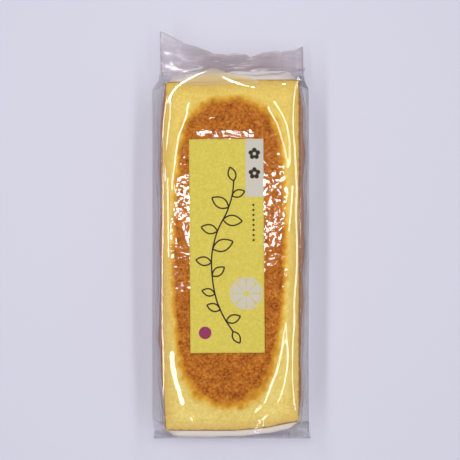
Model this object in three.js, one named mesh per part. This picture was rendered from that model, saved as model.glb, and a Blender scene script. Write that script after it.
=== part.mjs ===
// A castella loaf packed in a clear gusseted film bag, with a paper label stuck on the film.
// Millimetres, +Z up. The pack lies on its flat base, the heat-sealed flap towards +Y.
// The origin is on the table, under the middle of the loaf.
//
// The sealed bag is one solid: the loaf's own form with the loose film round it, a flat flap at the
// top end and a folded seam lip at the foot. The label is a thin sheet of its own on the crown.

import * as THREE from "three";

// ---- Driving dimensions -------------------------------------------------------------------------

const LOAF = {
  halfLength: 94.5, // middle to the end of the top face
  crownHeight: 42.5, // in the middle of the browned crown
  crownArch: 1.0, // the fall from there to the crown's edge
  rimFall: 2.6, // and from there over the pale rim
  rimRun: 12.0, // which ends this far beyond the crown's edge
  bulgeHeight: 13.0, // where the walls stand out most
  baseDraw: 0.25, // the share of the bulge that is drawn in again at the base
};

// The browned crown is an egg-shaped oval, squarer towards the flap and rounder towards the foot.
const OVAL = {
  halfWidth: 31.2,
  halfLength: 81.0,
  middleX: -1.7,
  middleY: 1.8,
  lean: 0.014, // its middle moves this far across in each millimetre along
  powerFoot: 2.45, // 2 is an ellipse, and more is squarer
  powerFlap: 2.9,
  blend: 30.0, // the power changes from one to the other this far to each side of the middle
};

// Each long wall: the top face's edge from the middle, how far the wall bulges below it, where
// along the loaf the bulge fades at the foot and at the flap, and the share that the foot loses.
const WALLS = {
  left: { edge: 37.8, bulge: 2.4, footFade: [-97, -45], footLoss: 0.9, flapFade: [80, 99] },
  right: { edge: 36.4, bulge: 3.8, footFade: [-100, -10], footLoss: 0.75, flapFade: [76, 97] },
};
// How far the film stands off each wall, and how far from the middle its loose gusset spreads at
// the table.
const GUSSETS = {
  left: { gap: 0.9, baseHalfWidth: 45.6 },
  right: { gap: 1.0, baseHalfWidth: 44.0 },
};

const BAG = {
  overLoaf: 0.6, // how far the film stands off the loaf's top
  arch: 0.3, // its fall from the crown's middle to the crown's edge
  baseFlare: 3, // the power of the gussets' spread: more keeps it lower
  flapWallRun: 8.0, // the film falls from the loaf's end to the flap in this length
  flapWallLate: 0.8, // the share of that fall that comes late, where it reaches out first
  flapWallPower: 2.5, // and how late
  footWallRun: 6.4, // and from the other end to the lip in this length
  footWallPower: 6, // there it reaches out first and drops late
};

// The film bridges the rim, so it falls less than the loaf does: least in the middle of its length.
const BRIDGE = { middleFall: 0.5, endFall: 1.5, middleY: 3.0, from: 36.0, to: 66.0 };

// The film's edge is rounded down.
const SHOULDER = { drop: 1.5, run: 3.6, power: 2.5 };

// Left of the middle, and at the right corner, the film stands out beyond the loaf's end as a tent
// before it drops to the flap.
const TENTS = {
  reach: 7.0, // from the loaf's end
  slope: 0.12, // of the roof, in each millimetre outwards
  leftX: -12.0,
  leftWidth: 10.0,
  rightFrom: 25.0, // the tent at the corner begins here
  rightTo: 37.0, // and reaches out in full here
};

const FLAP = {
  halfWidth: 40.0,
  thickness: 1.6,
  height: 14.0, // of the flap's middle plane at its root
  droop: 3.0, // how much lower its sealed edge hangs
  length: 10.3, // from its root, at its shortest
  cornerLeft: 11.4, // how much longer the left corner reaches
  cornerRight: 4.4,
  cornerLeftPower: 1.6, // more keeps the lengthening nearer to the corner
  cornerRightPower: 2.2,
  liftLeft: 8.0, // how far the left corner stands up
  liftFrom: 0.2, // share of the half width where that begins
  ripple: 1.6, // height of the ripple across the flap
  ripples: 0.75, // whole waves in a half width
  edgeWave: 0.5, // of the sealed edge, along the bag
  edgeWavelength: 20.3,
  rootDip: 2.0, // the root's fold dips back here
  rootDipX: 5.0,
  rootDipWidth: 12.0,
};

const LIP = { length: 2.6, thickness: 1.6, halfWidth: 44.5 };

// Each side gusset folds in between the loaf and the flap, and is shut again in the flap.
const PLEAT = { depth: 12.0, open: 0.7, shutFrom: 0.75 };

const LABEL = {
  width: 40.0,
  length: 115.0,
  thickness: 0.3,
  gap: 0.3, // clear of the film's facets
  centreX: -2.8,
  centreY: 5.4,
  turnDeg: 0.4,
  columns: 10,
  rows: 24,
};

// Mesh density of the bag.
const TOP_POINTS = 31; // across the top sheet, and across the base
const CROWDING = 0.4; // how much closer those points are at the shoulders, from 0 to 1
const SIDE_POINTS = 8; // between the two on each side
const BODY_STEPS = 30; // along the loaf
const LIP_SHARES = [1, 0.5]; // the lip's rings, as shares of its length
const FOOT_SHARES = [1, 0.97, 0.92, 0.84, 0.7, 0.45, 0.15]; // of the wall at the foot
const WALL_SHARES = [0.15, 0.35, 0.55, 0.72, 0.86, 1]; // of the wall at the flap
const FLAP_SHARES = [0.2, 0.4, 0.6, 0.8, 1]; // of the flap

// ---- Small helpers ------------------------------------------------------------------------------

const { clamp, degToRad, lerp, smoothstep } = THREE.MathUtils;

const loafEnd = LOAF.halfLength;
const flapRoot = loafEnd + BAG.flapWallRun;
const lipRoot = -loafEnd - BAG.footWallRun;
const rimHeight = LOAF.crownHeight - LOAF.crownArch - LOAF.rimFall;

// 1 at the middle, falling to nothing a few widths away.
const hump = (x, middle, width) => Math.exp(-(((x - middle) / width) ** 2));

// ---- The loaf's form ----------------------------------------------------------------------------

// 0 in the middle of the browned oval, 1 on its edge.
function crownReach(x, y) {
  const power = lerp(OVAL.powerFoot, OVAL.powerFlap, smoothstep(y, -OVAL.blend, OVAL.blend));
  const across = Math.abs(x - OVAL.middleX - OVAL.lean * y) / OVAL.halfWidth;
  const along = Math.abs(y - OVAL.middleY) / OVAL.halfLength;
  return (across ** power + along ** power) ** (1 / power);
}

// Distance from the oval's edge: below 0 inside it, above 0 on the rim.
function beyondCrown(x, y) {
  const step = 0.5;
  const slopeX = (crownReach(x + step, y) - crownReach(x - step, y)) / (2 * step);
  const slopeY = (crownReach(x, y + step) - crownReach(x, y - step)) / (2 * step);
  const flattest = 0.008; // keeps the middle of the oval from dividing by nothing
  return (crownReach(x, y) - 1) / Math.max(Math.hypot(slopeX, slopeY), flattest);
}

// How far a wall stands out at height z: 0 at the top edge, 1 where it stands out most.
function wallLean(z) {
  const above = 1 - ((z - LOAF.bulgeHeight) / (rimHeight - LOAF.bulgeHeight)) ** 2;
  const below = 1 - LOAF.baseDraw * (1 - z / LOAF.bulgeHeight) ** 2;
  return clamp(z > LOAF.bulgeHeight ? above : below, 0, 1);
}

// Half width of the loaf at y and height z, on one side.
function halfWidth(wall, y, z) {
  const atFoot = 1 - smoothstep(y, ...wall.footFade);
  const atFlap = smoothstep(y, ...wall.flapFade);
  return wall.edge + wall.bulge * wallLean(z) * (1 - atFlap) * (1 - wall.footLoss * atFoot);
}

// ---- The film over the loaf ---------------------------------------------------------------------

// Height of the film over the loaf's top face: a low crown that falls off over the pale rim.
function filmHeight(x, y) {
  const crown = BAG.arch * crownReach(x, y) ** 2;
  const toEnd = smoothstep(Math.abs(y - BRIDGE.middleY), BRIDGE.from, BRIDGE.to);
  const fall = lerp(BRIDGE.middleFall, BRIDGE.endFall, toEnd);
  return LOAF.crownHeight + BAG.overLoaf - crown - fall * smoothstep(beyondCrown(x, y), 1, LOAF.rimRun);
}

// How far out a tent's roof reaches from the loaf's end, at x.
function tentReach(x) {
  const left = hump(x, TENTS.leftX, TENTS.leftWidth);
  return TENTS.reach * Math.max(left, smoothstep(x, TENTS.rightFrom, TENTS.rightTo));
}

// How far the top sheet has come down an end wall, when it has gone this share of the way out.
const flapFall = (share) => lerp(share, share ** BAG.flapWallPower, BAG.flapWallLate);
const footFall = (share) => share ** BAG.footWallPower;

// ---- The flap -----------------------------------------------------------------------------------

// Height of the flap's middle plane: a ripple across it, and the left corner standing up.
function flapHeight(x, along) {
  const ripple = FLAP.ripple * Math.sin((x / FLAP.halfWidth) * 2 * Math.PI * FLAP.ripples);
  const corner = FLAP.liftLeft * smoothstep(-x / FLAP.halfWidth, FLAP.liftFrom, 1);
  return FLAP.height + along * (ripple + corner - FLAP.droop);
}

// How far back the fold at the flap's root lies at x.
const rootDip = (x) => FLAP.rootDip * hump(x, FLAP.rootDipX, FLAP.rootDipWidth);

// How far the flap's sealed edge reaches from its root.
function flapReach(x) {
  const left = FLAP.cornerLeft * clamp(-x / FLAP.halfWidth, 0, 1) ** FLAP.cornerLeftPower;
  const right = FLAP.cornerRight * clamp(x / FLAP.halfWidth, 0, 1) ** FLAP.cornerRightPower;
  const wave = FLAP.edgeWave * Math.sin((2 * Math.PI * x) / FLAP.edgeWavelength + 1);
  return FLAP.length + left + right + wave + rootDip(x);
}

// ---- The bag's rings ----------------------------------------------------------------------------

// One ring's place: y before the flap bends it, how far it has closed towards the flap (top) and
// the foot, and how far along the flap it is.
function stations() {
  const list = [];
  for (const share of LIP_SHARES) {
    list.push({ y: lipRoot - LIP.length * share, top: 0, foot: 1, along: 0, onLip: true });
  }
  for (const share of FOOT_SHARES) {
    list.push({ y: -loafEnd - BAG.footWallRun * share, top: 0, foot: share, along: 0 });
  }
  for (let i = 0; i <= BODY_STEPS; i++) {
    list.push({ y: lerp(-loafEnd, loafEnd, i / BODY_STEPS), top: 0, foot: 0, along: 0 });
  }
  for (const share of WALL_SHARES) {
    list.push({ y: loafEnd + BAG.flapWallRun * share, top: share, foot: 0, along: 0 });
  }
  for (const share of FLAP_SHARES) {
    list.push({ y: flapRoot, top: 1, foot: 0, along: share });
  }
  return list;
}

// Share across the top sheet of its point i, from -1 to 1, closer together at the shoulders.
function across(i) {
  const even = lerp(-1, 1, i / (TOP_POINTS - 1));
  return lerp(even, Math.sin((even * Math.PI) / 2), CROWDING);
}

// A width over the loaf, closed towards the flap's and the lip's own widths.
function closing(overLoaf, { top, foot }) {
  return lerp(lerp(overLoaf, FLAP.halfWidth, top), LIP.halfWidth, foot);
}

// Half width of the top sheet on one side, "left" or "right".
function topHalfWidth(side, station) {
  const y = clamp(station.y, -loafEnd, loafEnd);
  return closing(halfWidth(WALLS[side], y, rimHeight) + GUSSETS[side].gap, station);
}

// Heights of the top sheet and of the sheet under it, at x.
function sheetHeights(x, { y, top, foot, along, onLip }) {
  if (onLip) return { upper: LIP.thickness, lower: 0 };
  const overLoaf = filmHeight(clamp(x, -WALLS.left.edge, WALLS.right.edge), clamp(y, -loafEnd, loafEnd));
  const flap = flapHeight(x, along);
  const out = top * BAG.flapWallRun;
  const roof = tentReach(x);
  const pastRoof = clamp((out - roof) / (BAG.flapWallRun - roof), 0, 1);
  const onRoof = overLoaf - TENTS.slope * Math.min(out, roof);
  const toFlap = lerp(onRoof, flap + FLAP.thickness / 2, flapFall(pastRoof));
  return {
    upper: lerp(toFlap, LIP.thickness, footFall(foot)),
    lower: smoothstep(top, 0.1, 1) * (flap - FLAP.thickness / 2),
  };
}

// The closed ring of one station: top sheet, right side, base and left side.
function ring(station) {
  const { y, top, foot, along } = station;
  const open = (1 - top) * (1 - foot); // 1 over the loaf, 0 where the film lies flat
  const onLoafY = clamp(y, -loafEnd, loafEnd);
  const pleat = PLEAT.depth * smoothstep(top, 0, PLEAT.open) * (1 - smoothstep(top, PLEAT.shutFrom, 1));
  const points = [];
  const place = (x, z) => {
    const bend = clamp(x, -FLAP.halfWidth, FLAP.halfWidth);
    const pulled = along * flapReach(bend) - rootDip(bend) * smoothstep(top, 0.2, 1);
    points.push(new THREE.Vector3(x, y + pulled, z));
  };

  for (let i = 0; i < TOP_POINTS; i++) {
    const u = across(i);
    const width = topHalfWidth(u > 0 ? "right" : "left", station);
    const inside = width * (1 - Math.abs(u));
    const rounded = SHOULDER.drop * clamp(1 - inside / SHOULDER.run, 0, 1) ** SHOULDER.power;
    place(width * u, sheetHeights(width * u, station).upper - open * rounded);
  }
  const addGusset = (side, sign) => {
    const { gap, baseHalfWidth } = GUSSETS[side];
    const { upper, lower } = sheetHeights(sign * topHalfWidth(side, station), station);
    for (let k = 1; k <= SIDE_POINTS; k++) {
      const down = sign > 0 ? k / (SIDE_POINTS + 1) : 1 - k / (SIDE_POINTS + 1);
      const z = lerp(upper - open * SHOULDER.drop, lower, down);
      const hug = halfWidth(WALLS[side], onLoafY, z) + gap;
      const spread = baseHalfWidth - halfWidth(WALLS[side], onLoafY, 0) - gap;
      const foldedIn = pleat * (1 - Math.abs(2 * down - 1));
      place(sign * (closing(hug + spread * down ** BAG.baseFlare, station) - foldedIn), z);
    }
  };
  addGusset("right", 1);
  for (let i = TOP_POINTS - 1; i >= 0; i--) {
    const u = across(i);
    const x = u * closing(GUSSETS[u > 0 ? "right" : "left"].baseHalfWidth, station);
    place(x, sheetHeights(x, station).lower);
  }
  addGusset("left", -1);
  return points;
}

// ---- The bag's solid ----------------------------------------------------------------------------

// Joins rings of the same count into a closed solid. Each end is capped by a ladder between its
// top and base points, so a thin wavy end stays true.
function loft(rings) {
  const count = rings[0].length;
  const positions = rings.flat().flatMap((p) => [p.x, p.y, p.z]);
  const faces = [];
  for (let r = 0; r + 1 < rings.length; r++) {
    for (let i = 0; i < count; i++) {
      const j = (i + 1) % count;
      const [a, b, c, d] = [r * count + i, r * count + j, (r + 1) * count + j, (r + 1) * count + i];
      faces.push([a, b, c], [a, c, d]);
    }
  }
  const cap = (r, flip) => {
    const at = (i) => r * count + ((i + count) % count);
    const base = (i) => TOP_POINTS + SIDE_POINTS + (TOP_POINTS - 1 - i); // under top point i
    const add = (a, b, c) => faces.push(flip ? [at(a), at(c), at(b)] : [at(a), at(b), at(c)]);
    for (let i = 1; i + 2 < TOP_POINTS; i++) {
      add(i, i + 1, base(i + 1));
      add(i, base(i + 1), base(i));
    }
    const last = TOP_POINTS - 2;
    for (let i = TOP_POINTS - 1; i < base(last); i++) add(last, i, i + 1);
    for (let i = base(1); i < count; i++) add(1, i, i + 1);
  };
  cap(0, true);
  cap(rings.length - 1, false);
  const geometry = new THREE.BufferGeometry();
  geometry.setAttribute("position", new THREE.Float32BufferAttribute(positions, 3));
  geometry.setIndex(faces.flat());
  geometry.computeVertexNormals();
  return geometry;
}

function filmBag() {
  const mesh = new THREE.Mesh(
    loft(stations().map(ring)),
    new THREE.MeshStandardMaterial({ color: 0xddb964, roughness: 0.25, metalness: 0 }),
  );
  mesh.name = "film_bag";
  return mesh;
}

// ---- The label ----------------------------------------------------------------------------------

// A thin rectangular sheet bent over the crown: a plate's own grid, moved onto the film.
function label() {
  const { width, length, thickness, columns, rows } = LABEL;
  const plate = new THREE.BoxGeometry(width, length, thickness, columns, rows, 1);
  plate.rotateZ(degToRad(LABEL.turnDeg));
  plate.translate(LABEL.centreX, LABEL.centreY, 0);
  const place = plate.getAttribute("position");
  for (let i = 0; i < place.count; i++) {
    const middle = filmHeight(place.getX(i), place.getY(i)) + LABEL.gap + thickness / 2;
    place.setZ(i, place.getZ(i) + middle);
  }
  const mesh = new THREE.Mesh(
    plate,
    new THREE.MeshStandardMaterial({ color: 0xd7c65a, roughness: 0.85, metalness: 0 }),
  );
  mesh.name = "label";
  return mesh;
}

// ---- The part -----------------------------------------------------------------------------------

const pack = new THREE.Group();
pack.name = "packed_castella";
pack.add(filmBag(), label());

export default pack;
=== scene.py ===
# %% [markdown]
# # A castella loaf in a clear gusseted bag
# A castella is a plain egg sponge, baked one to a pan. Its middle rises nearest the heat and browns in
# an oval, its rim stays pale, and the pan browns its sides. The loaf lies on a strip of baking paper
# in a clear film bag: a tube with a pleat in each side, sealed flat at both ends. A paper label is
# stuck on the outside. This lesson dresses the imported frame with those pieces, from the inside out.

# %% Load the frame
import math

import bpy
import numpy as np
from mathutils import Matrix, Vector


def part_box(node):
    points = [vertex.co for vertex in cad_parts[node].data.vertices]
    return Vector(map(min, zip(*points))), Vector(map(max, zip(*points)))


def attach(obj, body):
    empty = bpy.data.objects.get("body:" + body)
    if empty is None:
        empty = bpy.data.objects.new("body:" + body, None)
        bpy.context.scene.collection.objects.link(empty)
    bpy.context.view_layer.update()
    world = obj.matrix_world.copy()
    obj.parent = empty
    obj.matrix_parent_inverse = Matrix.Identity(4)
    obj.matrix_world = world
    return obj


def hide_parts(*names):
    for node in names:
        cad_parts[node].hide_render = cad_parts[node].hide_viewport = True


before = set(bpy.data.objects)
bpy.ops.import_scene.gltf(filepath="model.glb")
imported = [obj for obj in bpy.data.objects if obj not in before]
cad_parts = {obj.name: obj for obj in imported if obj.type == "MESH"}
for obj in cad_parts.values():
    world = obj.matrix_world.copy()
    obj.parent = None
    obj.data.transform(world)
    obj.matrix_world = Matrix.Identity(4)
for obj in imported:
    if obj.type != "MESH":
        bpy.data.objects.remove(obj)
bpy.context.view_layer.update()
MM = 0.001  # sizes below are in millimetres, and meshes are made in metres
bag_low, bag_high = (np.array(corner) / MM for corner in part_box("film_bag"))
label_low, label_high = (np.array(corner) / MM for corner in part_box("label"))
print("bag from", bag_low.round(1), "to", bag_high.round(1), "mm")

# %% [markdown]
# A few helpers serve every piece. `linear` turns a colour as a designer writes it into the linear
# numbers that a shader wants. `add` adds one node to any tree, with its settings and whatever feeds
# it. The four after it name the kinds of node that come again and again: sums on numbers, a value
# taken from one span to another, a blend of two colours, and noise of a real size.

# %% Helpers for colours and nodes


def linear(hex_colour):
    """An sRGB hex colour as linear red, green, blue and alpha."""
    shares = [int(hex_colour[i : i + 2], 16) / 255 for i in (1, 3, 5)]
    curve = [s / 12.92 if s <= 0.04045 else ((s + 0.055) / 1.055) ** 2.4 for s in shares]
    return (*curve, 1.0)


def add(tree, kind, inputs=None, **settings):
    """Adds a node. Its inputs are values, or the nodes or sockets that feed them."""
    made = tree.nodes.new(kind)
    for name, value in settings.items():
        setattr(made, name, value)
    for key, value in (inputs or {}).items():
        if isinstance(value, bpy.types.Node):
            value = value.outputs[0]
        if isinstance(value, bpy.types.NodeSocket):
            tree.links.new(value, made.inputs[key])
        else:
            made.inputs[key].default_value = value
    return made


def maths(tree, operation, *numbers, **settings):
    """One sum on up to three numbers."""
    return add(tree, "ShaderNodeMath", dict(enumerate(numbers)), operation=operation, **settings)


def ramp(tree, value, low, high, start=0.0, end=1.0, **settings):
    """Takes a value that runs from low to high to one that runs from start to end."""
    spans = {"From Min": low, "From Max": high, "To Min": start, "To Max": end}
    return add(tree, "ShaderNodeMapRange", {"Value": value, **spans}, **settings)


def blend(tree, share, first, second):
    """The colour this share of the way from the first to the second, each a hex colour or a socket."""
    ends = {6: first, 7: second}
    colours = {key: linear(end) if isinstance(end, str) else end for key, end in ends.items()}
    return add(tree, "ShaderNodeMix", {"Factor": share, **colours}, data_type="RGBA").outputs[2]


def noise(tree, place, size, **inputs):
    """Noise whose blobs are about this many millimetres wide."""
    return add(tree, "ShaderNodeTexNoise", {"Vector": place, "Scale": 1000 / size, **inputs})


# %% [markdown]
# A surface here is only a rule for where each point of a net lies: `quads` joins the net's points, and
# `mesh_object` makes the object. `smooth` is the curve that every change along the pack follows. The
# last three functions start a material and end it.

# %% Helpers for meshes and materials


def mesh_object(name, points, faces, material):
    """A smooth mesh object at the origin, from points in millimetres."""
    mesh = bpy.data.meshes.new(name)
    mesh.from_pydata((np.asarray(points) * MM).tolist(), [], [list(map(int, f)) for f in faces])
    mesh.shade_smooth()
    mesh.materials.append(material)
    piece = bpy.data.objects.new(name, mesh)
    bpy.context.scene.collection.objects.link(piece)
    return piece


def quads(rows, columns, ring=False):
    """Faces of a net of rows by columns of points. A ring's last column joins its first."""
    r, c = np.meshgrid(np.arange(rows - 1), np.arange(columns if ring else columns - 1), indexing="ij")
    right = (c + 1) % columns
    corners = [r * columns + c, r * columns + right, (r + 1) * columns + right, (r + 1) * columns + c]
    return np.stack(corners, axis=-1).reshape(-1, 4)


def smooth(low, high, value):
    """0 below low, 1 above high, and an even curve between. It also runs down, where low is above high."""
    share = np.clip((value - low) / (high - low), 0, 1)
    return share * share * (3 - 2 * share)


def new_material(name):
    """An empty node material and its tree."""
    material = bpy.data.materials.new(name)
    material.use_nodes = True
    material.node_tree.nodes.clear()
    return material, material.node_tree


def end_material(tree, shader):
    """Sends the finished shader out."""
    add(tree, "ShaderNodeOutputMaterial", {"Surface": shader})


def opaque(tree, **inputs):
    """Ends a material in one opaque surface. An input's name is written with _ for its spaces."""
    named = {name.replace("_", " "): value for name, value in inputs.items()}
    end_material(tree, add(tree, "ShaderNodeBsdfPrincipled", named))


# %% [markdown]
# The camera comes first, because each finish is tuned for what it sees. It looks straight down from
# 70 cm, a little towards the flap from the middle of the loaf, so that bag and flap sit in the middle
# of a square picture 25 cm wide. A long lamp stands on either side at the same height. Clear film
# shows itself mostly by what it mirrors, so the place of those lamps is set here too.

# %% Camera and the place of the side lamps
CAMERA_HEIGHT = 700.0
LOOK_AT = (-1.1, 14.0)
PICTURE_WIDTH = 248.4  # at the height of the loaf's top
LOAF_TOP = 40.0
SENSOR_WIDTH = 36.0
SIDE_LAMP_OUT, SIDE_LAMP_HEIGHT = 275.0, 700.0
camera_data = bpy.data.cameras.new("camera")
camera_data.sensor_width = SENSOR_WIDTH
camera_data.lens = SENSOR_WIDTH * (CAMERA_HEIGHT - LOAF_TOP) / PICTURE_WIDTH
camera = bpy.data.objects.new("camera", camera_data)
camera.location = (LOOK_AT[0] * MM, LOOK_AT[1] * MM, CAMERA_HEIGHT * MM)
bpy.context.scene.collection.objects.link(camera)
bpy.context.scene.camera = camera
print("lens", round(camera_data.lens, 1), "mm")

# %% [markdown]
# ## The form of the loaf
# One rule gives the height of the loaf's top everywhere, and the film and the label follow the same
# rule. `crown_reach` is 0 in the middle of the browned oval and 1 on its edge. The oval is an egg:
# squarer towards the flap and rounder towards the foot.

# %% The loaf's top
LOAF_END = 94.5
LOAF_BASE = 0.5  # the paper and the film lie under it
CROWN_HEIGHT = 42.5
CROWN_ARCH = 1.0  # the fall from the oval's middle to its edge
RIM_FALL = 2.6  # and from there over the rim
RIM_RUN = (1.0, 12.0)  # between these distances beyond the oval
RIM_HEIGHT = CROWN_HEIGHT - CROWN_ARCH - RIM_FALL
OVAL_HALF_WIDTH = 31.2
OVAL_HALF_LENGTH = 81.0
OVAL_MIDDLE_Y = 1.8
OVAL_MIDDLE_X = -1.7
OVAL_LEAN = 0.014  # the oval's middle moves this far across in each millimetre along
OVAL_POWER_FLAP = 2.9  # 2 is an ellipse, and more is squarer
OVAL_POWER_FOOT = 2.45
FLATTEST = 0.008  # slope of the oval's rule, which has none in its middle


def crown_reach(x, y):
    """0 in the middle of the browned oval, 1 on its edge."""
    power = OVAL_POWER_FOOT + (OVAL_POWER_FLAP - OVAL_POWER_FOOT) * smooth(-30, 30, y)
    across = np.abs(x - OVAL_MIDDLE_X - OVAL_LEAN * y) / OVAL_HALF_WIDTH
    along = np.abs(y - OVAL_MIDDLE_Y) / OVAL_HALF_LENGTH
    return (across**power + along**power) ** (1 / power)


def beyond_crown(x, y):
    """Distance from the oval's edge, in millimetres: below 0 inside it, above 0 on the rim."""
    reach = crown_reach(x, y)
    step = 0.5
    slope_x = (crown_reach(x + step, y) - crown_reach(x - step, y)) / (2 * step)
    slope_y = (crown_reach(x, y + step) - crown_reach(x, y - step)) / (2 * step)
    return (reach - 1) / np.maximum(np.hypot(slope_x, slope_y), FLATTEST)


def top_height(x, y):
    """Height of the loaf's top face: a low crown that falls off over the pale rim."""
    crown = CROWN_ARCH * np.minimum(crown_reach(x, y), 1) ** 2
    return CROWN_HEIGHT - crown - RIM_FALL * smooth(*RIM_RUN, beyond_crown(x, y))


print("the rim is", RIM_HEIGHT, "mm high")

# %% [markdown]
# Seen from above the loaf is nearly a rectangle. Its walls lean out below the top edge, most in the
# middle of its length, and the foot end is cut a little askew on the right. Each side has its own
# numbers, because a loaf settles unevenly in its pan.

# %% The loaf's sides
LEFT_EDGE, RIGHT_EDGE = 37.8, 36.4  # half widths of the top face
LEFT_BULGE, RIGHT_BULGE = 2.4, 3.8  # how far the walls lean out below it
END_BULGE = 1.2
BULGE_HEIGHT = 13.0
BASE_DRAW = 0.25  # share of the bulge that is drawn in again at the base


def wall_lean(z):
    """0 at the top edge, 1 where the wall stands out most."""
    above = 1 - ((z - BULGE_HEIGHT) / (RIM_HEIGHT - BULGE_HEIGHT)) ** 2
    below = 1 - BASE_DRAW * (1 - z / BULGE_HEIGHT) ** 2
    return np.clip(np.where(z > BULGE_HEIGHT, above, below), 0, 1)


def half_width(y, z, right):
    """Half width of the loaf on its left or right side."""
    left_run = smooth(99, 80, y) * (1 - 0.9 * smooth(-45, -97, y))
    right_run = smooth(97, 76, y) * smooth(-96, -78, y) * (1 - 0.45 * smooth(-5, -60, y))
    left_lumps = 0.35 * np.sin(y / 6.3 + 0.4) + 1.2 * np.exp(-(((y + 46) / 7) ** 2))
    right_lumps = 0.4 * np.sin(y / 7.1) + 0.3 * np.sin(y / 4.2 + 1.3)
    left_edge = LEFT_EDGE - 1.5 * smooth(66, 88, y) - 1.4 * smooth(-60, -92, y)
    left = left_edge + (LEFT_BULGE + left_lumps) * left_run * wall_lean(z)
    right_side = RIGHT_EDGE + (RIGHT_BULGE + right_lumps) * right_run * wall_lean(z)
    return np.where(right, right_side, left)


def half_length(x, z, flap_end):
    """Distance from the middle to the end wall, at the flap end or at the foot."""
    flap = LOAF_END - 0.3 + 1.2 * smooth(-12, 2, x)
    foot = LOAF_END - 1.0 * smooth(0, 16, x) - 3.6 * smooth(12, 38, x)
    return np.where(flap_end, flap, foot) + END_BULGE * wall_lean(z)


def to_edge(x, y):
    """Distance from the top face's edge, in millimetres."""
    across = half_width(y, RIM_HEIGHT, x > 0) - np.abs(x)
    along = half_length(x, RIM_HEIGHT, y > 0) - np.abs(y)
    return np.maximum(np.minimum(across, along), 0)


def browning(x, y):
    """From -0.5 where the skin is fully brown to 0.5 where it is pale, across the oval's edge."""
    towards_foot, towards_flap = smooth(-30, -75, y), smooth(45, 75, y)
    edge_width = 6.0 + 5.0 * towards_foot + 2.0 * towards_flap
    edge_middle = -1.2 + 2.2 * towards_foot + 2.5 * towards_flap
    return (beyond_crown(x, y) - edge_middle) / edge_width


widest = sum(half_width(0.0, BULGE_HEIGHT, right) for right in (False, True))
print("halfway along the loaf is", widest.round(1), "mm wide")

# %% [markdown]
# ## The loaf's mesh
# The top is a fine net, so that the wrinkles of its crust can be real relief. Round corners come from
# one trick: each point of the square net is pulled in until the square's edge becomes a rounded one.
# Rings of points go down from the net's edge, over the top edge and down the walls, and one face
# closes the base. Each point keeps how brown it is and how far it is down the side, for the crust.

# %% Make the plain loaf
TOP_COLUMNS, TOP_ROWS = 134, 336
EDGE_RADIUS = 1.0
EDGE_RINGS = 6
WALL_RINGS = 24
CORNER_POWER = 70  # of the rounded rectangle
BASE_ROUND = 1.2


def loaf_outline(u, v, z, inset):
    """Places points of the square from -1 to 1 on the loaf's level z, drawn in by inset."""
    square = np.maximum(np.abs(u), np.abs(v))
    rounded = (np.abs(u) ** CORNER_POWER + np.abs(v) ** CORNER_POWER) ** (1 / CORNER_POWER)
    pull = np.where(rounded > 0, square / np.maximum(rounded, 1e-9), 1)
    u, v = u * pull, v * pull
    x = u * (half_width(v * LOAF_END, z, u > 0) - inset)
    y = v * (half_length(x, z, v > 0) - inset)
    return x, y


def plain_loaf():
    """Points, faces, and each point's share of the way from the top (0) to the wall (1)."""
    v, u = np.meshgrid(np.linspace(-1, 1, TOP_ROWS), np.linspace(-1, 1, TOP_COLUMNS), indexing="ij")
    x, y = loaf_outline(u, v, np.full_like(u, RIM_HEIGHT), EDGE_RADIUS)
    top = np.stack([x, y, top_height(x, y)], axis=-1).reshape(-1, 3)
    index = np.arange(TOP_ROWS * TOP_COLUMNS).reshape(TOP_ROWS, TOP_COLUMNS)
    edge = np.concatenate([index[0, :-1], index[:-1, -1], index[-1, :0:-1], index[:0:-1, 0]])
    eu, ev = u.reshape(-1)[edge], v.reshape(-1)[edge]
    level = top[edge, 2]
    points, down = [top], [np.zeros(len(top))]
    for i in range(1, EDGE_RINGS + 1):
        angle = math.pi / 2 * i / EDGE_RINGS
        z = level - EDGE_RADIUS * (1 - math.cos(angle))
        x, y = loaf_outline(eu, ev, np.minimum(z, RIM_HEIGHT), EDGE_RADIUS * (1 - math.sin(angle)))
        points.append(np.stack([x, y, z], axis=-1))
        down.append(np.full(len(edge), i / EDGE_RINGS))
    for i in range(1, WALL_RINGS + 1):
        share = i / WALL_RINGS
        z = (level - EDGE_RADIUS) * (1 - share) + LOAF_BASE * share
        foot_round = BASE_ROUND * smooth(0.93, 1.0, share)
        x, y = loaf_outline(eu, ev, np.minimum(z, RIM_HEIGHT), foot_round)
        points.append(np.stack([x, y, z], axis=-1))
        down.append(np.full(len(edge), 1 + share))
    rings = np.vstack([edge[None, :]] + [
        len(top) + len(edge) * k + np.arange(len(edge))[None, :] for k in range(EDGE_RINGS + WALL_RINGS)
    ])
    net = quads(*rings.shape, ring=True)
    walls = rings.reshape(-1)[net][:, ::-1]
    base = [rings[-1][::-1]]
    return np.vstack(points), [*quads(TOP_ROWS, TOP_COLUMNS), *walls, *base], np.concatenate(down)


loaf_points, loaf_faces, loaf_down = plain_loaf()
print("loaf:", len(loaf_points), "points,", len(loaf_faces), "faces")

# %% [markdown]
# ## The crust as a Geometry Nodes tree
# The browned crust is a skin that rose, dried and wrinkled. The tree reads each point's browning, lets
# noise make the oval's edge wander, and keeps the result as the attribute `browned`, so the relief and
# the colour agree. It then moves the points along their normals: wrinkles on the browned part, fine
# pores on the pale rim and the walls. A tree suits this, because each size is a named input that a
# baker of other cakes could turn.

# %% Helpers for Geometry Nodes


def geometry_tree(name, sizes):
    """A tree with a geometry socket and one named input for each size. Returns it and its input node."""
    tree = bpy.data.node_groups.new(name, "GeometryNodeTree")
    tree.interface.new_socket("Geometry", in_out="INPUT", socket_type="NodeSocketGeometry")
    for size in sizes:
        tree.interface.new_socket(size, in_out="INPUT", socket_type="NodeSocketFloat")
    tree.interface.new_socket("Geometry", in_out="OUTPUT", socket_type="NodeSocketGeometry")
    return tree, add(tree, "NodeGroupInput")


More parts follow.
